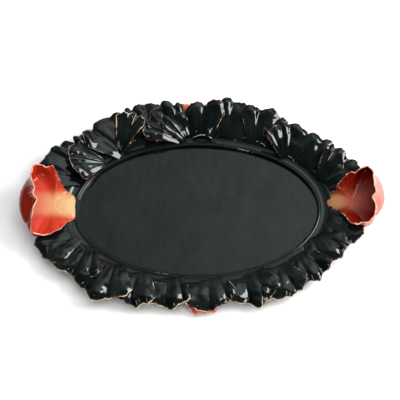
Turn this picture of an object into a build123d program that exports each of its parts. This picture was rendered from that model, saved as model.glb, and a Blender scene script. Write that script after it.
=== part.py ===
from build123d import *
import os
from math import cos, pi, radians, sin, tan

# Oval glazed serving tray: a flat dish with a luted bead round its well, a wide border of
# hand-built fluted petals on a sloping flange, and a cupped flower at each end as a handle.
# X runs along the tray, Y across it and Z up. The origin is the middle of the foot, on the table.

# ---- dish ----
WELL_A = 137.0  # half the length of the well
WELL_B = 86.0  # half the width of the well
FOOT_H = 4.0  # height of the foot
FOOT_INSET = 10.0  # from the edge of the well in to the edge of the foot
FOOT_CHAMFER = 0.8  # wiped edge of the foot, all round its underside
FLOOR_T = 5.0  # thickness of the well's floor
GROOVE_W = 5.0  # width of the seat the bead lies on
BEAD_D = 4.6  # diameter of the bead's coil of clay
BEAD_SINK = 0.3  # how far the coil is pressed flat on its seat
FLANGE_REACH = 18.0  # from the edge of the well out to the edge of the flange
FLANGE_STEP = 2.0  # height of the flange above the well's floor, beside the bead
FLANGE_RISE = 5.0  # further rise of the flange, out to its edge
FLANGE_T = 3.8  # thickness of the flange at its edge

# ---- petals ----
PETAL_T = 3.0  # thickness of a petal
ROOT_SHARE = 0.55  # width of a petal's root, as a share of its stated width
SPREAD_SHARE = 1.1  # width a petal would reach at its tip, before its lip is rounded off
CROWN = 0.28  # how far the middle of a lip stands beyond its corners, as a share of the width
LOBE_BULGE = 0.2  # how far a lobe of the lip stands out, as a share of its width

# ---- flowers ----
CUP_RX = 34.0  # half the length of a flower's cup, at its belly
CUP_RY = 41.0  # half its width there
CUP_LIP_RX = 29.0  # half the length at the lip, which curls inward over the end
CUP_LIP_RY = 45.0  # half the width at the lip, where the sides flare
CUP_H = 40.0  # height of a cup, up to the lip of its end petal
BACK_DROP = 10.0  # how far the lip of the back petal lies below that
FRONT_DROP = 16.0  # and the lip of the front petal, which is spread open
CUP_WALL = 3.2  # thickness of a flower's petals
LEFT_CUP_OUT = 33.0  # from the well's edge out to the middle of the left cup
LEFT_CUP_Y = 1.0  # middle of the left cup, across the tray
LEFT_THROAT_W = 38.0  # width of the left throat at the bead
RIGHT_CUP_OUT = 45.0  # the same three sizes for the right flower, which stands further out
RIGHT_CUP_Y = 5.0
RIGHT_THROAT_W = 26.0
RIGHT_THROAT_SKEW = 3.0  # how far the right throat lies behind the middle of its cup
CUP_LIFT = 4.0  # underside of a cup above the well's floor
SEAM = 0.15  # how far a cup's petals stand off its middle, which leaves a fine seam between them
END_SPAN = 50  # bearings from the end of the tray round to the edges of the end petal
MOUTH_SPAN = 128  # and round to the mouth, where the throat comes in
MOUTH_LIFT = 14.0  # height of the side petals' edges at the mouth, above the well's floor
MOUTH_TOP = 4.0  # how far inboard of the cup's middle they reach their full height
SILL_LIFT = 10.0  # top of the low wall the throat runs into, above the well's floor
NOTCH_R = 5.0  # radius of the notches between the lobes of the lip

FLOOR_Z = FOOT_H + FLOOR_T
FLANGE_EDGE_Z = FLOOR_Z + FLANGE_STEP + FLANGE_RISE
FLANGE_RUN = FLANGE_REACH - GROOVE_W
CUP_BASE_Z = FLOOR_Z + CUP_LIFT
MOUTH_Z = FLOOR_Z + MOUTH_LIFT
SILL_Z = FLOOR_Z + SILL_LIFT
LIP_Z = CUP_BASE_Z + CUP_H


def flange_top(reach):
    """Height of the flange's upper face, a distance out from the edge of the well."""
    return FLOOR_Z + FLANGE_STEP + FLANGE_RISE * (reach - GROOVE_W) / FLANGE_RUN


def rim_point(bearing, reach):
    """Point outside the well's edge, with the directions out of the oval and along it."""
    turn = radians(bearing)
    out = Vector(WELL_B * cos(turn), WELL_A * sin(turn), 0).normalized()
    along = Vector(-out.Y, out.X, 0)
    return Vector(WELL_A * cos(turn), WELL_B * sin(turn), 0) + out * reach, out, along


# ---- the dish: floor and flange in one piece ----
with BuildPart() as dish:
    with BuildSketch(Plane.XY.offset(FOOT_H)):
        Ellipse(WELL_A + 2, WELL_B + 2)
    with BuildSketch(Plane.XY.offset(FLANGE_EDGE_Z - FLANGE_T)):
        Ellipse(WELL_A + FLANGE_REACH, WELL_B + FLANGE_REACH)
    loft(ruled=True)
    with BuildSketch(Plane.XY.offset(FLANGE_EDGE_Z - FLANGE_T)):
        Ellipse(WELL_A + FLANGE_REACH, WELL_B + FLANGE_REACH)
    extrude(amount=FLANGE_T)
    with BuildSketch(Plane.XY.offset(flange_top(GROOVE_W))):
        Ellipse(WELL_A + GROOVE_W, WELL_B + GROOVE_W)
    with BuildSketch(Plane.XY.offset(FLANGE_EDGE_Z)):
        Ellipse(WELL_A + FLANGE_REACH, WELL_B + FLANGE_REACH)
    loft(ruled=True, mode=Mode.SUBTRACT)
    with BuildSketch(Plane.XY.offset(FLOOR_Z)):
        Ellipse(WELL_A + GROOVE_W, WELL_B + GROOVE_W)
    extrude(amount=FLANGE_STEP, mode=Mode.SUBTRACT)

# ---- the foot: a flat oval slab under the floor, which lifts the border off the table ----
with BuildPart() as foot:
    with BuildSketch():
        Ellipse(WELL_A - FOOT_INSET, WELL_B - FOOT_INSET)
    extrude(amount=FOOT_H)
    chamfer(foot.faces().sort_by(Axis.Z)[0].edges(), FOOT_CHAMFER)

# ---- the bead: a coil of clay pressed onto its seat round the well ----
with BuildPart() as rim_bead:
    bead_z = FLOOR_Z + BEAD_D / 2 - BEAD_SINK
    with BuildLine(Plane.XY.offset(bead_z)) as bead_path:
        EllipticalCenterArc((0, 0), WELL_A + GROOVE_W / 2, WELL_B + GROOVE_W / 2, arc_size=360)
    with BuildSketch(bead_path.line ^ 0):
        Circle(BEAD_D / 2)
    sweep()
    split(bisect_by=Plane.XY.offset(FLOOR_Z), keep=Keep.TOP)


def fluted_strip(plane, width, cup, ruffle, lobes):
    """Cross-section of a petal: a strip that waves once for each lobe, its edges lifted by cup."""
    top = []
    for k in range(2 * lobes + 1):
        across = k / (2 * lobes) - 0.5
        lift = cup * (2 * across) ** 2 - ruffle * cos(2 * pi * lobes * across + lobes * pi)
        top.append((across * width, lift))
    bottom = [(x, y - PETAL_T) for x, y in reversed(top)]
    with BuildSketch(plane) as strip:
        with BuildLine():
            Spline(*top)
            Line(top[-1], bottom[0])
            Spline(*bottom)
            Line(bottom[-1], top[0])
        make_face()
    return strip.sketch


def lobed_lip(plane, width, lobes, crown):
    """What lies beyond a petal's lip: everything outside a row of rounded lobes."""
    ends = []
    for k in range(lobes + 1):
        across = k / lobes - 0.5
        ends.append((-crown * (2 * across) ** 2, across * width))
    beyond = 30.0
    side = width / 2 + 12
    with BuildSketch(plane) as outside:
        with BuildLine():
            for start, finish in zip(ends, ends[1:]):
                SagittaArc(start, finish, -LOBE_BULGE * width / lobes)
            Polyline(ends[-1], (-crown, side), (beyond, side), (beyond, -side), (-crown, -side), ends[0])
        make_face()
    return outside.sketch


def fan_petal(bearing, start, finish, height, slopes, width, lobes, cup, ruffle):
    """A fluted fan that grows out of the flange, opens along its length and ends in a lobed lip."""
    steps = 3
    step = (finish - start) / steps
    strips = []
    for k in range(steps + 1):
        share = k / steps
        point, out, along = rim_point(bearing, start + k * step)
        plane = Plane(point + Vector(0, 0, height), x_dir=along, z_dir=out)
        spread = width * (ROOT_SHARE + (SPREAD_SHARE - ROOT_SHARE) * share)
        strips.append(fluted_strip(plane, spread, cup * share, ruffle * share, lobes))
        slope = slopes[0] + (slopes[1] - slopes[0]) * (share + 0.5 / steps)
        height += step * tan(radians(slope))
    tip, out, along = rim_point(bearing, finish - LOBE_BULGE * width / lobes)
    outside = lobed_lip(Plane(tip, x_dir=out, z_dir=(0, 0, 1)), SPREAD_SHARE * width, lobes, CROWN * width)
    with BuildPart() as petal:
        loft(strips)
        extrude(outside, amount=90, mode=Mode.SUBTRACT)
        add(dish.part, mode=Mode.SUBTRACT)
    return petal.part


LOW_START = 15.0  # a low petal butts against the edge of the flange
HIGH_START = 6.0  # a high petal stands on the flange, beside the bead
UNDER_START = 8.0  # an under petal is luted to the flange's underside
LOW_Z = FLANGE_EDGE_Z - 2.0
HIGH_Z = flange_top(HIGH_START) + PETAL_T - 1.2
UNDER_Z = FLANGE_EDGE_Z - FLANGE_T - 4.0


def low_petal(bearing, reach, width, lobes):
    """A petal of the lower tier: domed, its edges turned down."""
    return fan_petal(bearing, LOW_START, reach, LOW_Z, (17, 16), width, lobes, -2.0, 1.3)


def high_petal(bearing, reach, width, lobes):
    """A petal of the upper tier: steep at its root, then spread, its edges turned up."""
    return fan_petal(bearing, HIGH_START, reach, HIGH_Z, (36, 17), width, lobes, 2.5, 1.3)


def under_petal(bearing, reach, width, lobes):
    """A petal tucked under the border, luted to the underside of the flange."""
    return fan_petal(bearing, UNDER_START, reach, UNDER_Z, (15, 13), width, lobes, 0.0, 0.8)


# The black border. Each petal: where it points round the oval, how far it reaches from the well,
# its width and its number of lobes. Petals run from the left flower to the right one.
BACK_PETALS = [
    (low_petal, 154, 62, 42, 4),
    (high_petal, 142, 56, 58, 5),
    (low_petal, 130, 63, 50, 4),
    (high_petal, 119, 52, 40, 3),
    (low_petal, 111, 62, 42, 2),
    (high_petal, 103, 58, 46, 4),
    (low_petal, 96, 54, 36, 3),
    (high_petal, 87, 58, 46, 3),
    (low_petal, 75, 63, 54, 4),
    (high_petal, 62, 60, 46, 3),
    (low_petal, 48, 60, 60, 5),
    (high_petal, 33, 59, 50, 4),
    (low_petal, 21, 62, 38, 4),
]
FRONT_PETALS = [
    (low_petal, -159, 60, 44, 3),
    (high_petal, -146, 56, 62, 5),
    (low_petal, -127, 61, 60, 4),
    (high_petal, -113, 55, 42, 3),
    (low_petal, -100, 56, 46, 4),
    (high_petal, -84, 54, 56, 3),
    (low_petal, -69, 58, 56, 3),
    (high_petal, -57, 58, 40, 4),
    (low_petal, -44, 57, 48, 4),
    (high_petal, -31, 54, 54, 4),
    (low_petal, -19, 60, 38, 3),
]

pieces = []
for row, petals in (("back", BACK_PETALS), ("front", FRONT_PETALS)):
    for number, (make, bearing, reach, width, lobes) in enumerate(petals, 1):
        black = make(bearing, reach, width, lobes)
        black.label = f"{row}_petal_{number:02d}"
        pieces.append(black)

# Two coral petals tucked under the border, one at the back and one at the front.
for name, bearing, reach in (("under_petal_back", 96, 52), ("under_petal_front", -86, 50)):
    coral = under_petal(bearing, reach, 26, 3)
    coral.label = name
    pieces.append(coral)

# ---- the flowers ----
CUP_STAGES = [(0.0, 14.0, 16.0), (0.3, 27.0, 31.0), (0.65, CUP_RX, CUP_RY), (1.0, CUP_LIP_RX, CUP_LIP_RY)]


def cup_form(centre_x, centre_y, inset, lift):
    """The solid form of a flower's cup, or of its hollow where inset and lift are a wall."""
    with BuildPart() as form:
        for share, rx, ry in CUP_STAGES:
            with BuildSketch(Plane((centre_x, centre_y, CUP_BASE_Z + lift + share * CUP_H))):
                Ellipse(rx - inset, ry - inset)
        loft()
    return form.part


def cup_sector(cup, hollow, centre, start, finish, top):
    """The part of a cup's wall between two bearings, up to a height."""
    middle = radians((start + finish) / 2)
    corner = centre + Vector(cos(middle), sin(middle)) * SEAM
    rim = [corner]
    for k in range(5):
        turn = radians(start + (finish - start) * k / 4)
        rim.append(corner + Vector(cos(turn), sin(turn)) * 90)
    with BuildPart() as sector:
        with BuildSketch():
            with BuildLine():
                Polyline(*rim, close=True)
            make_face()
        extrude(amount=top)
        add(cup, mode=Mode.INTERSECT)
        add(hollow, mode=Mode.SUBTRACT)
        add(dish.part, mode=Mode.SUBTRACT)
    return sector.part


def cup_petal(wall, centre, side, start, finish, lobes, lip):
    """A sector of a cup's wall made into a petal: its lip notched, and sloped down to the throat."""
    low = centre.X - side * CUP_RX
    high = centre.X - side * MOUTH_TOP
    with BuildPart() as petal:
        add(wall)
        for k in range(lobes + 1):
            turn = radians(start + (finish - start) * k / lobes)
            out = Vector(cos(turn), sin(turn))
            level = centre + Vector(0, 0, lip + NOTCH_R * 0.4)
            with BuildSketch(Plane(level, x_dir=(-out.Y, out.X, 0), z_dir=out)):
                Circle(NOTCH_R)
            extrude(amount=60, mode=Mode.SUBTRACT)
        with BuildSketch(Plane.XZ):
            with BuildLine():
                Polyline((low, MOUTH_Z), (high, lip), (high, LIP_Z + 9), (low - side * 9, LIP_Z + 9),
                         (low - side * 9, MOUTH_Z), close=True)
            make_face()
        extrude(amount=80, both=True, mode=Mode.SUBTRACT)
    return petal.part


def flower(side, centre, throat_y, throat_w, name):
    """A cup of three petals and the throat that leads up to it from the bead."""
    cup = cup_form(centre.X, centre.Y, 0, 0)
    hollow = cup_form(centre.X, centre.Y, CUP_WALL, CUP_WALL)
    outward = 0 if side > 0 else 180
    spans = [
        ("end", -END_SPAN, END_SPAN, 3, LIP_Z),
        ("back", END_SPAN, MOUTH_SPAN, 2, LIP_Z - BACK_DROP),
        ("front", -MOUTH_SPAN, -END_SPAN, 2, LIP_Z - FRONT_DROP),
    ]
    made = []
    for part_name, start, finish, lobes, lip in spans:
        start, finish = outward + side * start, outward + side * finish
        wall = cup_sector(cup, hollow, centre, min(start, finish), max(start, finish), lip)
        made.append(cup_petal(wall, centre, side, start, finish, lobes, lip))
        made[-1].label = f"{name}_{part_name}_petal"
    strips = []
    for reach, lift, spread in ((GROOVE_W + 0.6, 1.5, 0), (14.0, 5.5, 2), (36.0, 9.0, 6)):
        station = Plane((side * (WELL_A + reach), throat_y, FLOOR_Z + FLANGE_STEP + lift),
                        x_dir=(0, side, 0), z_dir=(side, 0, 0))
        strips.append(fluted_strip(station, throat_w + spread, 5.0, 0.0, 1))
    sill = cup_sector(cup, hollow, centre, outward + MOUTH_SPAN, outward + 360 - MOUTH_SPAN, SILL_Z)
    with BuildPart() as throat:
        loft(strips)
        add(cup, mode=Mode.SUBTRACT)
        add(dish.part, mode=Mode.SUBTRACT)
        add(sill)
    made.append(throat.part)
    made[-1].label = f"{name}_throat"
    return made


left_cup = Vector(-WELL_A - LEFT_CUP_OUT, LEFT_CUP_Y)
pieces += flower(-1, left_cup, LEFT_CUP_Y, LEFT_THROAT_W, "left_flower")
right_cup = Vector(WELL_A + RIGHT_CUP_OUT, RIGHT_CUP_Y)
pieces += flower(1, right_cup, RIGHT_CUP_Y + RIGHT_THROAT_SKEW, RIGHT_THROAT_W, "right_flower")

dish.part.label = "dish"
foot.part.label = "foot"
rim_bead.part.label = "rim_bead"
os.makedirs("parts", exist_ok=True)
for piece in [dish.part, foot.part, rim_bead.part, *pieces]:
    export_step(piece, f"parts/{piece.label}.step")
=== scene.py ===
import math

import bpy
import numpy as np
from bpy.props import FloatProperty, FloatVectorProperty, IntProperty, PointerProperty
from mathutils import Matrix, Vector, noise


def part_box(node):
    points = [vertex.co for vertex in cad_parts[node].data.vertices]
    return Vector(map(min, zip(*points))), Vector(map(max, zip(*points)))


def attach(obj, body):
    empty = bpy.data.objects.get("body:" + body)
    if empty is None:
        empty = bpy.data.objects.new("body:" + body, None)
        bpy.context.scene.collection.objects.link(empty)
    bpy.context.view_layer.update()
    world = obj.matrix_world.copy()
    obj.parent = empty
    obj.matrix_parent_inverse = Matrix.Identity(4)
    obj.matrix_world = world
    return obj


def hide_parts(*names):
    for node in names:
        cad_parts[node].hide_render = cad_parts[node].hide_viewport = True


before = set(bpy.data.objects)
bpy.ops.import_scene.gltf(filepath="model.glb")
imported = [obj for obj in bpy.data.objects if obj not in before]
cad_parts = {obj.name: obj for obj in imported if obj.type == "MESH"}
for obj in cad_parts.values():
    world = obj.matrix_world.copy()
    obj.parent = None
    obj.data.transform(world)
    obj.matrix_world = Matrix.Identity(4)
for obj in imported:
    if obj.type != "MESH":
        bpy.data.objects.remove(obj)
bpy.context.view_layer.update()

bl_info = {
    "name": "Petal tray",
    "version": (1, 0, 0),
    "blender": (4, 5, 0),
    "location": "3D View > Sidebar > Tray",
    "description": "Builds a glazed oval tray with a border of sculpted petals and two flower handles",
    "category": "Object",
}

MM = 0.001


# ---------------------------------------------------------------- settings

class TraySettings(bpy.types.PropertyGroup):
    """Sizes of the tray's finish that the CAD leaves open."""

    petal_root: FloatProperty(name="Petal root", description="Thickness of a petal at its root",
                              default=0.0032, unit="LENGTH")
    petal_lip: FloatProperty(name="Petal lip", description="Thickness of a petal at its lip",
                             default=0.0022, unit="LENGTH")
    gilt: FloatProperty(name="Gilt", description="Width of the gilt line on a petal's lip",
                        default=0.0011, unit="LENGTH")
    flute: FloatProperty(name="Flutes", description="How deep the petals' flutes are, 1 as modelled",
                         default=1.0, subtype="FACTOR")
    steps: IntProperty(name="Steps", description="Points along a petal from root to lip", default=22)
    black: FloatVectorProperty(name="Black glaze", description="Colour of the black glaze", size=3,
                               default=(0.0018, 0.0036, 0.0034), subtype="COLOR")
    coral: FloatVectorProperty(name="Coral glaze", description="Colour of the flowers' glaze", size=3,
                               default=(0.52, 0.036, 0.013), subtype="COLOR")


# ---------------------------------------------------------------- the oval

def half_size(node):
    low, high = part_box(node)
    return (high - low) / 2


BEAD_OUT = 4.8 * MM  # from the edge of the well to the bead's outer side
WELL_A = half_size("rim_bead").x - BEAD_OUT
WELL_B = half_size("rim_bead").y - BEAD_OUT
FLANGE_REACH = half_size("dish").x - WELL_A
FLANGE_EDGE_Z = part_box("dish")[1].z
FLOOR_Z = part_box("rim_bead")[0].z
FLANGE_FOOT_Z = FLOOR_Z + 2 * MM


def flange_z(reach):
    """Height of the flange's upper face, a distance out from the well's edge."""
    share = (reach - BEAD_OUT) / (FLANGE_REACH - BEAD_OUT)
    return FLANGE_FOOT_Z + (FLANGE_EDGE_Z - FLANGE_FOOT_Z) * share


def oval(bearing, reach):
    """Point on the table outside the well's edge, and the direction out of the oval there."""
    turn = math.radians(bearing)
    out = Vector((WELL_B * math.cos(turn), WELL_A * math.sin(turn), 0)).normalized()
    return Vector((WELL_A * math.cos(turn), WELL_B * math.sin(turn), 0)) + out * reach, out


# ---------------------------------------------------------------- meshes

def smooth(low, high, x):
    t = np.clip((x - low) / (high - low), 0, 1)
    return t * t * (3 - 2 * t)


def ripple(points, scale, seed, octaves=2):
    """Smooth random height at each point, between -1 and 1."""
    flat = points.reshape(-1, 3)
    shift = Vector((seed * 7.31, seed * 3.17, seed * 1.93))
    values = [noise.fractal(Vector(p) * scale + shift, 0.8, 2.1, octaves) for p in flat]
    return np.array(values).reshape(points.shape[:-1])


def grid_normals(grid):
    along = np.gradient(grid, axis=0)
    across = np.gradient(grid, axis=1)
    normal = np.cross(along, across)
    return normal / np.maximum(np.linalg.norm(normal, axis=-1, keepdims=True), 1e-12)


def shell(name, top, thickness, layers):
    """A closed sheet: the grid is its upper face, and thickness (one value per point) its depth below."""
    rows, columns = top.shape[:2]
    normal = grid_normals(top)
    bottom = top - normal * thickness[..., None]
    points = np.concatenate([top.reshape(-1, 3), bottom.reshape(-1, 3)])
    count = rows * columns
    index = np.arange(count).reshape(rows, columns)
    a, b, c, d = index[:-1, :-1], index[1:, :-1], index[1:, 1:], index[:-1, 1:]
    upper = np.stack([a, b, c, d], -1).reshape(-1, 4)
    lower = upper[:, ::-1] + count
    ring = np.concatenate([index[0, :-1], index[:-1, -1], index[-1, :0:-1], index[:0:-1, 0]])
    following = np.roll(ring, -1)
    side = np.stack([ring, following, following + count, ring + count], -1)
    faces = np.concatenate([upper, lower, side])
    layers = {key: np.concatenate([values.ravel(), values.ravel()]) for key, values in layers.items()}
    layers["under"] = np.repeat([0.0, 1.0], count)
    return mesh_object(name, points, faces, layers)


def mesh_object(name, points, faces, layers, level=1):
    mesh = bpy.data.meshes.new(name)
    mesh.from_pydata([tuple(p) for p in points], [], [tuple(int(i) for i in f) for f in faces])
    mesh.update()
    for key, values in layers.items():
        layer = mesh.attributes.new(key, "FLOAT", "POINT")
        layer.data.foreach_set("value", np.asarray(values, np.float32))
    mesh.polygons.foreach_set("use_smooth", [True] * len(mesh.polygons))
    made = bpy.data.objects.new(name, mesh)
    bpy.context.scene.collection.objects.link(made)
    if level:
        rounding = made.modifiers.new("rounding", "SUBSURF")
        rounding.levels = rounding.render_levels = level
    return made


def finish_piece(piece, material, slot, *nodes):
    piece.data.materials.append(material)
    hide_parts(*nodes)
    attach(piece, "root")


# ---------------------------------------------------------------- materials

class Tree:
    """Short calls for adding nodes to a material."""

    def __init__(self, name):
        self.material = bpy.data.materials.get(name) or bpy.data.materials.new(name)
        self.material.use_nodes = True
        self.nodes = self.material.node_tree.nodes
        self.links = self.material.node_tree.links
        self.nodes.clear()
        output = self.nodes.new("ShaderNodeOutputMaterial")
        self.shader = self.nodes.new("ShaderNodeBsdfPrincipled")
        self.links.new(self.shader.outputs[0], output.inputs[0])

    def add(self, kind, *links, **values):
        node = self.nodes.new(kind)
        for key, value in values.items():
            setattr(node, key, value)
        for socket, source in links:
            self.put(node.inputs[socket], source)
        return node

    def put(self, socket, source):
        if isinstance(source, bpy.types.NodeSocket):
            self.links.new(source, socket)
        else:
            socket.default_value = source

    def layer(self, name):
        return self.add("ShaderNodeAttribute", attribute_name=name).outputs["Fac"]

    def span(self, source, low, high, start=0.0, end=1.0):
        """Source mapped from low..high to start..end, smoothed and clamped."""
        node = self.add("ShaderNodeMapRange", ("Value", source), ("From Min", low), ("From Max", high),
                        ("To Min", start), ("To Max", end), interpolation_type="SMOOTHSTEP")
        return node.outputs["Result"]

    def maths(self, operation, first, second=0.0):
        node = self.add("ShaderNodeMath", (0, first), (1, second), operation=operation)
        return node.outputs[0]

    def mix(self, factor, first, second, blend="MIX"):
        node = self.add("ShaderNodeMix", data_type="RGBA", blend_type=blend)
        self.put(node.inputs[0], factor)
        self.put(node.inputs[6], first if isinstance(first, bpy.types.NodeSocket) else (*first, 1))
        self.put(node.inputs[7], second if isinstance(second, bpy.types.NodeSocket) else (*second, 1))
        return node.outputs[2]

    def noise(self, scale, detail=2.0, rough=0.5):
        place = self.add("ShaderNodeTexCoord").outputs["Object"]
        node = self.add("ShaderNodeTexNoise", ("Vector", place), ("Scale", scale), ("Detail", detail),
                        ("Roughness", rough))
        return node.outputs["Fac"]

    def bump(self, height, strength, distance, under=None):
        links = [("Height", height), ("Strength", strength), ("Distance", distance)]
        if under is not None:
            links.append(("Normal", under))
        return self.add("ShaderNodeBump", *links).outputs[0]

    def finish(self, colour, rough, normal=None, metallic=0.0):
        self.put(self.shader.inputs["Base Color"], colour)
        self.put(self.shader.inputs["Roughness"], rough)
        self.put(self.shader.inputs["Metallic"], metallic)
        if normal is not None:
            self.put(self.shader.inputs["Normal"], normal)
        return self.material


def black_glaze(settings, name, gilded):
    """Deep black glaze, browner where it thins, with a broken gilt line along a petal's lip."""
    tree = Tree(name)
    cloud = tree.noise(28, 3)
    fine = tree.noise(420, 2)
    black = tuple(settings.black)
    colour = tree.mix(tree.span(cloud, 0.35, 0.7), black, tuple(c * 1.6 + 0.001 for c in black))
    rough = tree.span(cloud, 0.3, 0.75, 0.045, 0.10)
    metallic = 0.0
    if gilded:
        rim = tree.layer("rim")
        colour = tree.mix(tree.layer("under"), colour, (0.020, 0.009, 0.005))
        wander = tree.span(tree.noise(70, 3), 0.38, 0.66, 0.0, settings.gilt * 1.3)
        edge = tree.maths("SUBTRACT", rim, wander)
        brown = tree.span(rim, 0.0, settings.gilt * 2.4, 0.8, 0.0)
        colour = tree.mix(brown, colour, (0.050, 0.018, 0.008))
        line = tree.span(edge, -settings.gilt * 0.7, 0.0, 1.0, 0.0)
        colour = tree.mix(line, colour, (0.74, 0.56, 0.36))
        rough = tree.add("ShaderNodeMix", (0, line), (2, rough), (3, 0.22)).outputs[0]
        metallic = tree.maths("MULTIPLY", line, 0.4)
    wave = tree.bump(tree.noise(65, 2), 0.10, 0.004)
    normal = tree.bump(fine, 0.06, 0.0006, wave)
    return tree.finish(colour, rough, normal, metallic)


def coral_glaze(settings, name):
    """Coral glaze: yellow in the throat, salmon in the cup, red towards the lip, a pale line on it; painted
    shade inside a cup, and painted light and shade on its outer face.
    """
    tree = Tree(name)
    coral = tuple(settings.coral)
    cloud = tree.noise(45, 4, 0.6)
    speck = tree.noise(240, 2)
    throat = tree.layer("throat")
    drift = tree.maths("MULTIPLY", tree.maths("SUBTRACT", cloud, 0.5), 0.3)
    blush = tree.maths("ADD", tree.layer("blush"), drift)
    warm = tree.maths("ADD", throat, drift)
    colour = tree.mix(tree.span(warm, 0.22, 0.85), (0.60, 0.37, 0.17), (0.60, 0.15, 0.075))
    colour = tree.mix(tree.span(blush, 0.15, 0.95), colour, coral)
    colour = tree.mix(tree.span(throat, -0.02, 0.10, 1.0, 0.0), colour, (0.45, 0.42, 0.34))
    # Painted shade: the cup_shade layer darkens the inside of a cup, strongly in the right flower's cup, which
    # is turned from the light, and most in its hollow.
    cup_shade = tree.layer("cup_shade")
    colour = tree.mix(cup_shade, colour, (0.22, 0.09, 0.04), "MULTIPLY")
    # Painted light on a cup's outer face: dark red painted shade where cup_shade is low, as on the left
    # flower; pale pink painted light and sheen where it is high, as on the right flower.
    outside = tree.mix(tree.span(cup_shade, 0.2, 0.4), (0.21, 0.013, 0.006), (0.58, 0.17, 0.125))
    colour = tree.mix(tree.layer("under"), colour, outside)
    colour = tree.mix(tree.span(speck, 0.60, 0.80, 0.0, 0.30), colour, (0.60, 0.045, 0.02))
    ragged = tree.maths("ADD", tree.layer("rim"), tree.span(tree.noise(90, 2), 0.35, 0.7, 0.0, 0.0012))
    line = tree.span(ragged, 0.0004, 0.0015, 0.8, 0.0)
    colour = tree.mix(line, colour, (0.78, 0.42, 0.32))
    rough = tree.span(cloud, 0.3, 0.75, 0.09, 0.17)
    wave = tree.bump(tree.noise(85, 2), 0.12, 0.003)
    normal = tree.bump(tree.noise(500, 2), 0.05, 0.0005, wave)
    tree.shader.inputs["Specular IOR Level"].default_value = 0.32
    return tree.finish(colour, rough, normal)


def bare_clay(name):
    """Unglazed clay: buff, matt and gritty."""
    tree = Tree(name)
    grit = tree.noise(900, 4, 0.7)
    colour = tree.mix(tree.span(tree.noise(40, 3), 0.3, 0.7), (0.55, 0.47, 0.37), (0.42, 0.34, 0.25))
    colour = tree.mix(tree.span(grit, 0.62, 0.8, 0.0, 0.5), colour, (0.20, 0.14, 0.09))
    normal = tree.bump(grit, 0.4, 0.0004)
    return tree.finish(colour, tree.span(grit, 0.3, 0.7, 0.75, 0.95), normal)


# ---------------------------------------------------------------- black petals

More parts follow.
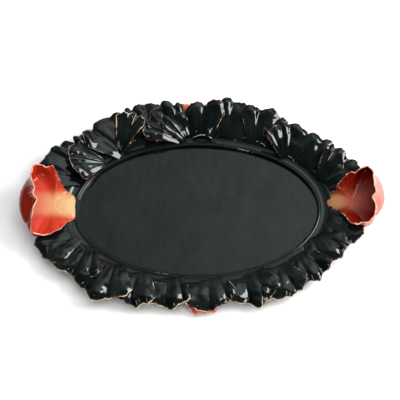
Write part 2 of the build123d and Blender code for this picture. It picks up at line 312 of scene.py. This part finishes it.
# Each petal grows from a root on the flange. Lengths are in mm and angles in degrees.
#   hub: where the root's middle lies, as a bearing round the oval and a distance out from the well
#   turn: how far the petal turns from straight outwards
#   length, half: its length, and half its spread
#   root: how far behind the hub its flutes would meet
#   lobes, slope, edges: the lobes of its lip, its slope at root and tip, how high its two edges stand
#   tip, lift, lean: a longer middle, the root's height above the flange, the lean to the side
PETAL_COLUMNS = 52  # steps across a petal
PETAL_SEED = 11  # where the petals' chance details start
UNDER_PETAL_SEED = 70
LEAN = 5.0  # each petal rises to the side by this, and so laps over the next
CURL = 2.0  # how far a lip turns down
PETALS = {
    "back_petal_01": dict(hub=(156, 12), turn=9, length=52, half=38, root=20, lobes=4, slope=(16, 4),
                          edges=(2, 3)),
    "back_petal_02": dict(hub=(139, 10), turn=42, length=42, half=62, root=6, lobes=6, slope=(32, 12),
                          edges=(0, 1), lift=1),
    "back_petal_03": dict(hub=(126, 9), turn=8, length=50, half=46, root=18, lobes=4, slope=(24, 4),
                          edges=(7, 2)),
    "back_petal_04": dict(hub=(131, 9), turn=-50, length=48, half=22, root=8, lobes=2, slope=(34, 8),
                          edges=(7, 7), tip=3, lift=3, lean=2),
    "back_petal_05": dict(hub=(114, 15), turn=-16, length=46, half=30, root=22, lobes=3, slope=(22, 8),
                          edges=(-2, -3)),
    "back_petal_06": dict(hub=(98, 9), turn=44, length=46, half=46, root=7, lobes=5, slope=(34, 4),
                          edges=(2, 2), tip=3, lift=2, lean=-4),
    "back_petal_07": dict(hub=(95, 11), turn=26, length=36, half=38, root=14, lobes=4, slope=(32, 8),
                          edges=(3, 0), lift=3),
    "back_petal_08": dict(hub=(88, 10), turn=-2, length=42, half=27, root=24, lobes=2, slope=(34, 8),
                          edges=(-1, 3), lift=4, lean=-4),
    "back_petal_09": dict(hub=(76, 13), turn=-5, length=45, half=33, root=26, lobes=4, slope=(33, 10),
                          edges=(-5, -3)),
    "back_petal_10": dict(hub=(61, 14), turn=2, length=43, half=32, root=22, lobes=3, slope=(30, 9),
                          edges=(2, -3)),
    "back_petal_11": dict(hub=(43, 11), turn=16, length=41, half=58, root=8, lobes=6, slope=(28, 4),
                          edges=(4, 1), lift=2),
    "back_petal_12": dict(hub=(30, 13), turn=-4, length=42, half=42, root=15, lobes=4, slope=(24, 6),
                          edges=(4, 0)),
    "back_petal_13": dict(hub=(17, 15), turn=8, length=46, half=34, root=20, lobes=4, slope=(20, 4),
                          edges=(13, 0)),
    "front_petal_01": dict(hub=(-161, 12), turn=-2, length=46, half=34, root=24, lobes=3, slope=(12, -4),
                           edges=(0, 4)),
    "front_petal_02": dict(hub=(-150, 10), turn=16, length=44, half=46, root=16, lobes=4, slope=(18, -8),
                           edges=(0, 3)),
    "front_petal_03": dict(hub=(-131, 9), turn=9, length=47, half=36, root=20, lobes=3, slope=(20, -8),
                           edges=(0, 6), tip=3),
    "front_petal_04": dict(hub=(-117, 8), turn=10, length=40, half=22, root=30, lobes=2, slope=(20, -12),
                           edges=(0, 2), tip=3),
    "front_petal_05": dict(hub=(-103, 7), turn=7, length=37, half=24, root=36, lobes=3, slope=(20, -14),
                           edges=(0, 2)),
    "front_petal_06": dict(hub=(-86, 7), turn=3, length=35, half=28, root=40, lobes=3, slope=(20, -14),
                           edges=(0, 3), tip=6),
    "front_petal_07": dict(hub=(-67, 7), turn=0, length=37, half=30, root=36, lobes=3, slope=(20, -12),
                           edges=(0, 3), tip=5),
    "front_petal_08": dict(hub=(-53, 9), turn=-8, length=42, half=30, root=24, lobes=3, slope=(20, -12),
                           edges=(0, 3)),
    "front_petal_09": dict(hub=(-39, 9), turn=-13, length=38, half=34, root=22, lobes=3, slope=(22, -8),
                           edges=(2, 2)),
    "front_petal_10": dict(hub=(-22, 8), turn=-28, length=38, half=38, root=22, lobes=3, slope=(22, -8),
                           edges=(3, 0)),
    "front_petal_11": dict(hub=(-9, 14), turn=-22, length=44, half=32, root=20, lobes=3, slope=(18, 0),
                           edges=(4, 0)),
}


def lobed_lip(spec, v, chance):
    """Length of a petal at each share across it (mm), and the lobe's height and size there."""
    lobes = spec["lobes"]
    widths = 1 + chance.uniform(-0.5, 0.5, lobes)
    ends = np.concatenate([[-1], -1 + 2 * np.cumsum(widths) / widths.sum()])
    lobe = np.clip(np.searchsorted(ends, v, side="right") - 1, 0, lobes - 1)
    hump = np.sin(np.pi * np.clip((v - ends[lobe]) / (ends[lobe + 1] - ends[lobe]), 0, 1)) ** 0.75
    size = chance.uniform(0.3, 1.2, lobes)[lobe]
    length = spec["length"] * (1 - 0.17 * np.abs(v) ** 2.6)
    arc = 2 * math.radians(spec["half"]) * (spec["length"] + spec["root"]) / lobes
    length = length + hump * size * min(0.20 * arc, 4.2) - 1.6
    phase = chance.uniform(0, 6.28, 4)
    for k, (count, depth) in enumerate(((7, 1.0), (15, 0.8), (29, 0.45), (47, 0.25))):
        length = length + depth * np.sin(v * count + phase[k])
    length = length + spec.get("tip", 0) * np.exp(-(v / 0.2) ** 2)
    return length, hump, size


def petal_grid(settings, spec, seed):
    """The upper face of a fluted fan, its thickness and its distance from the lip."""
    chance = np.random.RandomState(seed)
    rows, columns = settings.steps, PETAL_COLUMNS
    half = math.radians(spec["half"])
    root = spec["root"]
    v = np.linspace(-1, 1, columns + 1)
    s = np.linspace(0, 1, rows + 1)[:, None]
    length, hump, size = lobed_lip(spec, v, chance)

    sway = 0.10 * np.sin(s * 2.2 + chance.uniform(0, 6)) * (1 - v[None, :] ** 2) * s
    angle = (v[None, :] + sway) * half
    rho = root + length[None, :] * s
    x = rho * np.cos(angle) - root
    y = rho * np.sin(angle)

    first, last = (math.tan(math.radians(a)) for a in spec["slope"])
    run = np.clip(x / spec["length"], -0.3, 1.2)
    z = spec["length"] * (first * run + (last - first) * run ** 2 / 2)
    left, right = spec["edges"]
    z = z + np.where(v < 0, right, left)[None, :] * np.abs(v)[None, :] ** 2 * s ** 1.3
    arc = 2 * half * (spec["length"] + root) / spec["lobes"]
    depth = settings.flute * min(0.30 * arc, 4.6)
    z = z + depth * ((hump - 0.55) * (0.45 + 0.7 * size))[None, :] * s ** 1.7
    fine = np.sin(v[None, :] * math.degrees(half) * 0.55 + sway * 40 + seed) * 0.14
    z = z + fine * np.sin(np.pi * np.clip(s, 0, 1))
    z = z - CURL * smooth(0.80, 1.0, s) * (0.5 + 0.7 * size)[None, :]
    z = z + y * math.tan(math.radians(spec.get("lean", LEAN)))

    reach = spec["hub"][1] * MM
    hub, out = oval(spec["hub"][0], reach)
    turn = math.radians(spec["turn"])
    ahead = np.array((out.x * math.cos(turn) - out.y * math.sin(turn),
                      out.x * math.sin(turn) + out.y * math.cos(turn), 0))
    side = np.array((-ahead[1], ahead[0], 0))
    grid = np.array(hub) + (x[..., None] * ahead + y[..., None] * side) * MM
    grid[..., 2] += flange_z(reach) + (spec.get("lift", 1) + z) * MM
    rough = ripple(grid, 38, seed) * 2.6 * MM + ripple(grid, 110, seed + 9) * 0.6 * MM
    grid[..., 2] += rough * (0.25 + s)

    thick = (settings.petal_root + (settings.petal_lip - settings.petal_root) * s) * np.ones_like(v)
    to_lip = (1 - s) * length[None, :] * MM
    to_side = (1 - np.abs(v))[None, :] * half * rho * MM
    rim = np.minimum(to_lip, to_side + 0.002 * (1 - smooth(0.25, 0.5, s)))
    return grid, thick, rim


def under_cups(grid, cups):
    """The grid, pressed down where it passes under the cup of a flower."""
    step = 4
    bearings = np.radians(np.arange(-180, 181, step))
    share = np.linspace(0, BELLY_SHARE, 24)[:, None]
    for form in cups:
        cup = form(np.degrees(bearings)[None, :] + 0 * share, share + 0 * bearings[None, :], 0)
        middle = cup[0, 0]
        away = np.hypot(grid[..., 0] - middle[0], grid[..., 1] - middle[1])
        turn = np.arctan2(grid[..., 1] - middle[1], (grid[..., 0] - middle[0]) * np.sign(middle[0]))
        column = np.clip(np.round((np.degrees(turn) + 180) / step), 0, len(bearings) - 1).astype(int)
        reach = np.hypot(cup[..., 0] - middle[0], cup[..., 1] - middle[1])
        for index in np.ndindex(away.shape):
            line = column[index]
            if away[index] < reach[-1, line] + 2 * MM:
                limit = np.interp(away[index], reach[:, line], cup[:, line, 2]) - CUP_CLEARANCE
                grid[index][2] = min(grid[index][2], limit)
    return grid


def build_black_petals(settings):
    glaze = black_glaze(settings, "petal glaze", True)
    cups = [flower_form(name, flower) for name, flower in FLOWERS.items()]
    for number, (node, spec) in enumerate(PETALS.items()):
        grid, thick, rim = petal_grid(settings, spec, PETAL_SEED + number)
        piece = shell("visual_" + node, under_cups(grid, cups), thick, {"rim": rim})
        finish_piece(piece, glaze, "black_glaze", node)


# ---------------------------------------------------------------- dish, bead and foot

def ring_object(name, profile, columns, wobble):
    """A closed band round the oval, from a loop of (reach, height, share of the well) points."""
    rows = len(profile)
    points = np.zeros((rows, columns, 3))
    for j in range(columns):
        bearing = 360 * j / columns
        for i, (reach, height, share) in enumerate(profile):
            point, out = oval(bearing, 0)
            place = point * share + out * reach
            points[i, j] = (place.x, place.y, height)
    points[..., 2] += ripple(points, 22, 3) * wobble
    index = np.arange(rows * columns).reshape(rows, columns)
    right = np.roll(index, -1, axis=1)
    faces = np.stack([index[:-1], right[:-1], right[1:], index[1:]], -1).reshape(-1, 4).tolist()
    faces.append(list(index[0][::-1]))
    faces.append(list(index[-1]))
    return mesh_object(name, points.reshape(-1, 3), faces, {}, 0)


def build_dish(settings):
    """The floor of the well and the flange round it, with its underside."""
    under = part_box("dish")[0].z
    back = FLANGE_EDGE_Z - 3.8 * MM
    profile = [(0, FLOOR_Z, k) for k in np.linspace(0.02, 0.985, 26)]
    pooled = 2.4 * MM  # how deep the glaze lies behind the bead
    profile += [(0, FLOOR_Z, 1.0), (2.4 * MM, FLOOR_Z, 1), (2.8 * MM, FLANGE_FOOT_Z, 1),
                (4 * MM, FLANGE_FOOT_Z + pooled, 1)]
    for reach in np.linspace(5, 17, 13) * MM:
        fillet = pooled * smooth(9 * MM, 4.5 * MM, reach)
        profile.append((reach, flange_z(reach) + fillet + 0.25 * MM * math.sin(reach * 900), 1))
    rim = FLANGE_REACH
    profile += [(rim - 0.3 * MM, FLANGE_EDGE_Z - 0.5 * MM, 1), (rim, FLANGE_EDGE_Z - 1.8 * MM, 1),
                (rim - 0.6 * MM, FLANGE_EDGE_Z - 3.4 * MM, 1)]
    for k in np.linspace(0, 1, 8)[1:]:
        profile.append((rim * (1 - k) + 2 * MM * k, back + (under - back) * k, 1))
    profile += [(0, under, k) for k in (0.95, 0.8, 0.5, 0.2, 0.02)]
    piece = ring_object("visual_dish", profile, 192, 0.12 * MM)
    finish_piece(piece, black_glaze(settings, "dish glaze", False), "black_glaze", "dish")


def build_bead(settings):
    """The coil round the well: hand-rolled, so its thickness wavers."""
    low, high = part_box("rim_bead")
    radius = (high.z - low.z) / 2
    middle = BEAD_OUT - radius
    columns, rows = 256, 14
    points = np.zeros((columns, rows, 3))
    for j in range(columns):
        bearing = 360 * j / columns
        point, out = oval(bearing, middle)
        waver = 1 - 0.06 * (0.5 + 0.5 * noise.noise(Vector((point.x * 30, point.y * 30, 4.0))))
        for i in range(rows):
            turn = 2 * math.pi * i / rows
            place = point + out * (radius * waver * math.cos(turn))
            points[j, i] = (place.x, place.y, low.z + radius + radius * waver * math.sin(turn))
    index = np.arange(columns * rows).reshape(columns, rows)
    right, up = np.roll(index, -1, axis=0), np.roll(index, -1, axis=1)
    faces = np.stack([index, right, np.roll(right, -1, axis=1), up], -1).reshape(-1, 4)
    piece = mesh_object("visual_rim_bead", points.reshape(-1, 3), faces, {}, 0)
    finish_piece(piece, black_glaze(settings, "bead glaze", False), "black_glaze", "rim_bead")


def build_foot(settings):
    """The slab under the floor, its edge wiped round."""
    low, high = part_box("foot")
    inset = WELL_A - high.x
    profile = [(0, low.z, k) for k in (0.02, 0.3, 0.6, 0.85)]
    profile += [(-inset - 1.2 * MM, low.z, 1), (-inset - 0.35 * MM, low.z + 0.3 * MM, 1),
                (-inset, low.z + 1.2 * MM, 1), (-inset, high.z, 1)]
    profile += [(0, high.z, k) for k in (0.85, 0.6, 0.3, 0.02)]
    piece = ring_object("visual_foot", profile[::-1], 160, 0.0)
    finish_piece(piece, bare_clay("bare clay"), "bare_clay", "foot")


# ---------------------------------------------------------------- coral petals

UNDER_PETALS = {
    "under_petal_back": dict(hub=(95, 12), turn=2, length=44, half=24, root=20, lobes=3, slope=(24, 14),
                             edges=(2, 2), lean=0, lift=-6),
    "under_petal_front": dict(hub=(-88, 12), turn=2, length=34, half=22, root=26, lobes=3, slope=(6, -6),
                              edges=(3, 2), lean=0, lift=-7),
}


def build_under_petals(settings):
    glaze = coral_glaze(settings, "under petal glaze")
    for number, (node, spec) in enumerate(UNDER_PETALS.items()):
        grid, thick, rim = petal_grid(settings, spec, UNDER_PETAL_SEED + number)
        zeros = np.zeros_like(rim)
        layers = {"rim": rim, "throat": zeros + 0.9, "blush": zeros + 0.5}
        piece = shell("visual_" + node, grid, thick * 0.9, layers)
        finish_piece(piece, glaze, "coral_glaze", node)


# The edge of each flower, round the middle of its cup: the bearing from the tray's end towards the
# back (degrees), the distance out and the height above the table (mm). Near 180 it is the throat.
# The belly is how far the cup swells to the end, the back and the front; gold, how far the yellow
# of the throat runs (mm); cup_shade, how much painted shade darkens the inside of the cup, most in
# the right flower, whose cup is turned from the light.
FLOWERS = {
    "left_flower": dict(side=-1, seed=3, cup_shade=0.15, gold=55, belly=(34.4, 43, 47), edge=[
        (-180, 25, 12.8), (-163, 27, 13), (-148, 30, 14), (-128, 29, 18), (-103, 38, 23), (-92, 42, 26),
        (-81, 46, 26),
        (-73, 45, 29), (-66, 49, 29), (-58, 34, 43), (-42, 16, 49), (-14, 18, 50), (14, 16, 50), (30, 22, 47),
        (42, 30, 45), (56, 40, 43), (64, 45, 42), (70, 42, 41), (76, 36, 40.5), (82, 37, 42), (88, 38.5, 43),
        (96, 34, 37), (103, 28, 30), (118, 23.5, 21), (132, 23.5, 16.5), (150, 27, 14), (165, 26, 13),
        (180, 25, 12.8)]),
    "right_flower": dict(side=1, seed=8, cup_shade=0.95, gold=29, belly=(31.4, 46, 31), edge=[
        (-180, 30, 13.5), (-172, 29, 13.8), (-148, 20, 18), (-115, 27, 27), (-98, 38, 33), (-91, 40, 34),
        (-84, 37, 35), (-77, 40, 36), (-62, 37, 41), (-46, 28, 46), (-38, 19, 49), (-12, 20.5, 50),
        (7, 18.5, 50),
        (30, 22, 48), (42, 26, 46), (53, 34, 43), (67, 36, 42), (80, 29, 38), (88, 27, 36), (98, 29, 36),
        (115, 27, 30), (134, 26, 24), (150, 25, 16), (160, 29, 14), (172, 30, 13.5), (180, 30, 13.5)]),
}
# Where each petal of a flower starts and stops, by the same bearing, and how far it lies outside the rest.
FLOWER_PETALS = {
    "end": (-54, 54, 0.5),
    "back": (48, 134, 0.0),
    "front": (-134, -48, 0.0),
    "throat": (127, 233, 0.4),
}
CUP_INSET = 37.3  # from the tip of the tray in to the middle of a cup (mm)
CUP_FLOOR = 18.6  # height of a cup's floor (mm)
BELLY_SHARE = 0.62  # how far up its wall a cup is widest
CUP_CLEARANCE = 4.5 * MM  # from a cup's inside down to the black petals under it
SMOOTHING = 3.2  # how widely the edge is smoothed (degrees)


def flower_form(name, flower):
    """A function from (bearing, share of the way from the cup's middle to the edge) to points in mm."""
    side = flower["side"]
    low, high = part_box(f"{name}_end_petal")
    tip = max(abs(low.x), abs(high.x)) / MM
    centre_x = tip - CUP_INSET
    centre_y = (low.y + high.y) / 2 / MM
    table = np.array(flower["edge"], float)
    kernel = np.exp(-(np.arange(-9, 10) / SMOOTHING) ** 2)
    kernel /= kernel.sum()
    degrees = np.arange(-189, 190)
    lips = []
    for column in (1, 2):
        line = np.interp((degrees + 180) % 360 - 180, table[:, 0], table[:, column])
        lips.append(np.convolve(line, kernel, mode="valid"))

    def form(bearing, share, outside):
        around = (bearing + 180) % 360 - 180
        lip_r, lip_z = (np.interp(around, np.arange(-180, 181), line) for line in lips)
        away = np.abs(around)
        turn = np.radians(bearing)
        jag = np.sin(turn * 23 + flower["seed"]) * 0.7 + np.sin(turn * 41) * 0.4
        lip_z = lip_z + jag * smooth(150, 110, away) * smooth(0.75, 1, share)
        wall = smooth(152, 108, away)
        end, back, front = flower["belly"]
        swell = np.where(around > 0, back, front)
        oval_r = 1 / np.sqrt((np.cos(turn) / end) ** 2 + (np.sin(turn) / swell) ** 2)
        spread = smooth(98, 66, away)
        belly = np.maximum(lip_r * 0.97, oval_r * spread + lip_r * 0.97 * (1 - spread))
        rising = np.sin(np.clip(share / BELLY_SHARE, 0, 1) * np.pi / 2)
        curl = smooth(0.58, 1.0, share)
        wall_r = spread * (belly * rising + (lip_r - belly) * curl) + (1 - spread) * lip_r * share ** 0.8
        wall_z = CUP_FLOOR + (lip_z - CUP_FLOOR) * np.clip(share, 0, 1) ** 1.9
        floor_r = lip_r * share
        floor_z = CUP_FLOOR + (lip_z - CUP_FLOOR) * share ** (1.6 + 3.0 * smooth(135, 160, away))
        r = floor_r + (wall_r - floor_r) * wall + outside * share
        z = floor_z + (wall_z - floor_z) * wall - outside * share * (1 - wall * 0.6)
        x = centre_x + np.cos(turn) * r
        y = centre_y + np.sin(turn) * r
        return np.stack([side * x, y, z], -1) * MM

    return form


def build_flowers(settings):
    glaze = coral_glaze(settings, "flower glaze")
    for name, flower in FLOWERS.items():
        form = flower_form(name, flower)
        for part, (start, finish, outside) in FLOWER_PETALS.items():
            columns, rows = 64, 40
            bearing = np.linspace(start, finish, columns + 1)[None, :] * np.ones((rows + 1, 1))
            share = np.linspace(0.0008, 1, rows + 1)[:, None] * np.ones((1, columns + 1))
            grid = form(bearing, share, outside)
            grid[..., 2] += ripple(grid, 45, flower["seed"]) * 1.0 * MM * share ** 2
            thick = np.interp(share, [0, 0.7, 1], [3.0 * MM, 2.6 * MM, 1.7 * MM])
            seam = np.minimum(bearing - start, finish - bearing)
            thick = thick * (1 - 0.9 * smooth(9, 0, seam) * smooth(0.9, 0.6, share))
            thick = thick * (1 - 0.85 * smooth(0.10, 0.0, share))
            away = np.abs((bearing + 180) % 360 - 180)
            bead = form(np.array([[180.0]]), np.array([[1.0]]), 0)[0, 0]
            throat = np.linalg.norm((grid - bead)[..., :2], axis=-1) / (flower["gold"] * MM)
            aside = np.abs(grid[..., 1] - bead[1]) / MM
            blush = np.maximum(smooth(3, 25, aside), 0.5 * smooth(0.5, 1.1, throat))
            # Painted shade in the cup: stronger in its hollow and away from the throat's line, scaled by the
            # flower's cup_shade.
            hollow = smooth(118, 50, away) * smooth(0.0, 0.36, share)
            cup_shade = flower["cup_shade"] * (0.72 + 0.28 * np.maximum(hollow, smooth(4, 15, aside)))
            rim = (1 - share) * 0.05 + 0.01 * smooth(135, 150, away)
            layers = {"rim": rim, "throat": throat, "blush": blush, "cup_shade": cup_shade}
            if flower["side"] < 0:
                grid, thick = grid[:, ::-1], thick[:, ::-1]
                layers = {key: values[:, ::-1] for key, values in layers.items()}
            node = f"{name}_{part}" + ("" if part == "throat" else "_petal")
            piece = shell("visual_" + node, grid, thick, layers)
            finish_piece(piece, glaze, "coral_glaze", node)


# ---------------------------------------------------------------- stage

def soft_light(name, place, target, size, power, colour=(1, 1, 1)):
    data = bpy.data.lights.new(name, "AREA")
    data.shape = "RECTANGLE"
    data.size, data.size_y = size
    data.energy = power
    data.color = colour
    lamp = bpy.data.objects.new(name, data)
    bpy.context.scene.collection.objects.link(lamp)
    lamp.location = place
    lamp.rotation_euler = (Vector(target) - Vector(place)).to_track_quat("-Z", "Y").to_euler()
    return lamp


def build_world():
    """A dim room with one big pale panel behind and above the tray, brighter to the right."""
    world = bpy.data.worlds.new("studio")
    bpy.context.scene.world = world
    world.use_nodes = True
    nodes, links = world.node_tree.nodes, world.node_tree.links

    def span(source, low, high, start, end):
        node = nodes.new("ShaderNodeMapRange")
        node.interpolation_type = "SMOOTHSTEP"
        for socket, value in (("From Min", low), ("From Max", high), ("To Min", start), ("To Max", end)):
            node.inputs[socket].default_value = value
        links.new(source, node.inputs["Value"])
        return node.outputs[0]

    def times(first, second):
        node = nodes.new("ShaderNodeMath")
        node.operation = "MULTIPLY"
        links.new(first, node.inputs[0])
        links.new(second, node.inputs[1])
        return node.outputs[0]

    split = nodes.new("ShaderNodeSeparateXYZ")
    links.new(nodes.new("ShaderNodeTexCoord").outputs["Generated"], split.inputs[0])
    across = span(split.outputs["X"], -0.32, 0.45, 0.26, 1.5)
    behind = span(split.outputs["Y"], 0.0, 0.43, 0.08, 1.0)
    above = span(split.outputs["Z"], 0.25, 0.78, 0.12, 1.0)
    links.new(times(times(across, behind), above), nodes["Background"].inputs["Strength"])
    nodes["Background"].inputs["Color"].default_value = (0.93, 1.0, 1.0, 1)


CAMERA_ELEVATION = 58.0  # degrees above the table
CAMERA_DISTANCE = 1.29
CAMERA_TARGET = Vector((2.1 * MM, 12.6 * MM, FLOOR_Z))
FLOOR_REACH = 6.0


def build_stage(settings):
    mesh = bpy.data.meshes.new("floor")
    corners = [(x * FLOOR_REACH, y * FLOOR_REACH, 0) for x, y in ((-1, -1), (1, -1), (1, 1), (-1, 1))]
    mesh.from_pydata(corners, [], [(0, 1, 2, 3)])
    floor = bpy.data.objects.new("floor", mesh)
    bpy.context.scene.collection.objects.link(floor)
    tree = Tree("floor")
    cloth = tree.noise(300, 2)
    floor.data.materials.append(tree.finish(tree.mix(cloth, (0.84, 0.84, 0.84), (0.87, 0.87, 0.87)), 0.9))

    build_world()
    soft_light("key", (1.20, 0.20, 1.02), (0, 0, 0), (0.90, 0.80), 27)
    soft_light("window", (-0.42, -0.95, 1.15), (0, 0, 0), (0.10, 0.75), 3.2)
    soft_light("fill", (0, 0, 2.2), (0, 0, 0), (2.4, 2.4), 38).visible_glossy = False
    soft_light("front", (0.95, -0.95, 0.95), (0, 0, 0), (0.7, 0.7), 7).visible_glossy = False
    bpy.context.scene.view_settings.view_transform = "Standard"

    camera_data = bpy.data.cameras.new("camera")
    camera_data.lens = 100
    camera = bpy.data.objects.new("camera", camera_data)
    bpy.context.scene.collection.objects.link(camera)
    elevation = math.radians(CAMERA_ELEVATION)
    camera.location = CAMERA_TARGET + Vector((0, -math.cos(elevation), math.sin(elevation))) * CAMERA_DISTANCE
    camera.rotation_euler = (CAMERA_TARGET - camera.location).to_track_quat("-Z", "Y").to_euler()
    bpy.context.scene.camera = camera


# ---------------------------------------------------------------- operators and panel

class StepOperator:
    """Shared by the operators: runs the step on the scene's settings."""

    bl_options = {"REGISTER", "UNDO"}

    def execute(self, context):
        type(self).build(context.scene.tray)
        return {"FINISHED"}


class TRAY_OT_dish(StepOperator, bpy.types.Operator):
    """Build the dish"""

    bl_idname = "tray.dish"
    bl_label = "Dish"
    build = build_dish


class TRAY_OT_bead(StepOperator, bpy.types.Operator):
    """Build the bead round the well"""

    bl_idname = "tray.bead"
    bl_label = "Bead"
    build = build_bead


class TRAY_OT_foot(StepOperator, bpy.types.Operator):
    """Build the foot"""

    bl_idname = "tray.foot"
    bl_label = "Foot"
    build = build_foot


class TRAY_OT_black_petals(StepOperator, bpy.types.Operator):
    """Build the border of black petals"""

    bl_idname = "tray.black_petals"
    bl_label = "Black petals"
    build = build_black_petals


class TRAY_OT_under_petals(StepOperator, bpy.types.Operator):
    """Build the coral petals tucked under the border"""

    bl_idname = "tray.under_petals"
    bl_label = "Under petals"
    build = build_under_petals


class TRAY_OT_flowers(StepOperator, bpy.types.Operator):
    """Build the two flower handles"""

    bl_idname = "tray.flowers"
    bl_label = "Flowers"
    build = build_flowers


class TRAY_OT_stage(StepOperator, bpy.types.Operator):
    """Build the floor, the lights and the camera"""

    bl_idname = "tray.stage"
    bl_label = "Stage"
    build = build_stage


STEPS = (TRAY_OT_dish, TRAY_OT_bead, TRAY_OT_foot, TRAY_OT_black_petals, TRAY_OT_under_petals, TRAY_OT_flowers,
         TRAY_OT_stage)


class TRAY_PT_panel(bpy.types.Panel):
    """The tray's sizes and steps"""

    bl_label = "Petal tray"
    bl_space_type = "VIEW_3D"
    bl_region_type = "UI"
    bl_category = "Tray"

    def draw(self, context):
        for name in TraySettings.__annotations__:
            self.layout.prop(context.scene.tray, name)
        for step in STEPS:
            self.layout.operator(step.bl_idname)


CLASSES = (TraySettings, *STEPS, TRAY_PT_panel)


def register():
    for cls in CLASSES:
        bpy.utils.register_class(cls)
    bpy.types.Scene.tray = PointerProperty(type=TraySettings)


def unregister():
    del bpy.types.Scene.tray
    for cls in reversed(CLASSES):
        bpy.utils.unregister_class(cls)


def main():
    register()
    for step in STEPS:
        group, name = step.bl_idname.split(".")
        getattr(getattr(bpy.ops, group), name)()


if __name__ == "__main__":
    main()
